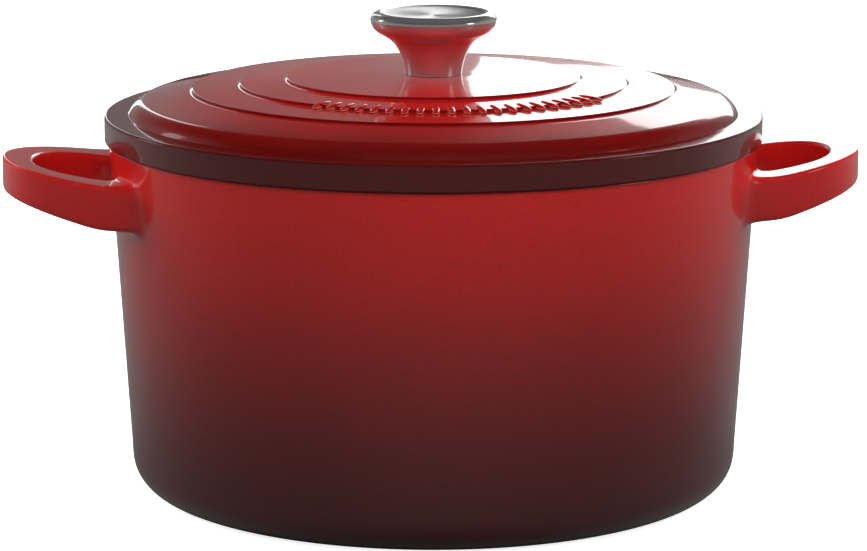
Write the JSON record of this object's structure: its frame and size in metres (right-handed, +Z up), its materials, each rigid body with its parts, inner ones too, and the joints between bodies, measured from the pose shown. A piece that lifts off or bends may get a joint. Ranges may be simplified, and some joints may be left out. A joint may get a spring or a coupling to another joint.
{
  "type": "cast iron dutch oven",
  "caption": "Round enamelled cast iron pot with loop handles on both sides and a stepped domed lid that lifts off by a flared steel knob.",
  "frame": {"origin": "middle of the base, in the plane the pot stands on", "axes": "+Z up along the pot's axis, +X through the middle of one side handle"},
  "size_m": [0.329, 0.2512, 0.1832],
  "materials": {
    "pot_enamel": "gloss enamel, red darkening to maroon at the base outside, sand coloured inside",
    "lid_enamel": "gloss enamel, red outside, sand coloured beneath",
    "knob_steel": "mirror polished stainless steel",
    "fixing_steel": "satin stainless steel",
    "gasket": "matt heat resistant rubber"
  },
  "bodies": {
    "pot": {"pot": "pot_enamel"},
    "lid": {"lid": "lid_enamel", "screw": "fixing_steel", "washer": "fixing_steel", "spring_washer": "fixing_steel", "knob_gasket": "gasket"},
    "knob": {"knob_cap": "knob_steel", "knob_stem": "knob_steel", "knob_insert": "fixing_steel", "knob_collar": "fixing_steel"}
  },
  "joints": [
    {"name": "lid_lift", "type": "slide", "parent": "pot", "child": "lid", "axis": [0, 0, 1], "range_m": [0, 0.2]},
    {"name": "knob_turn", "type": "hinge", "parent": "lid", "child": "knob", "pos_m": [0, 0, 0.17], "axis": [0, 0, 1], "continuous": true}
  ]
}
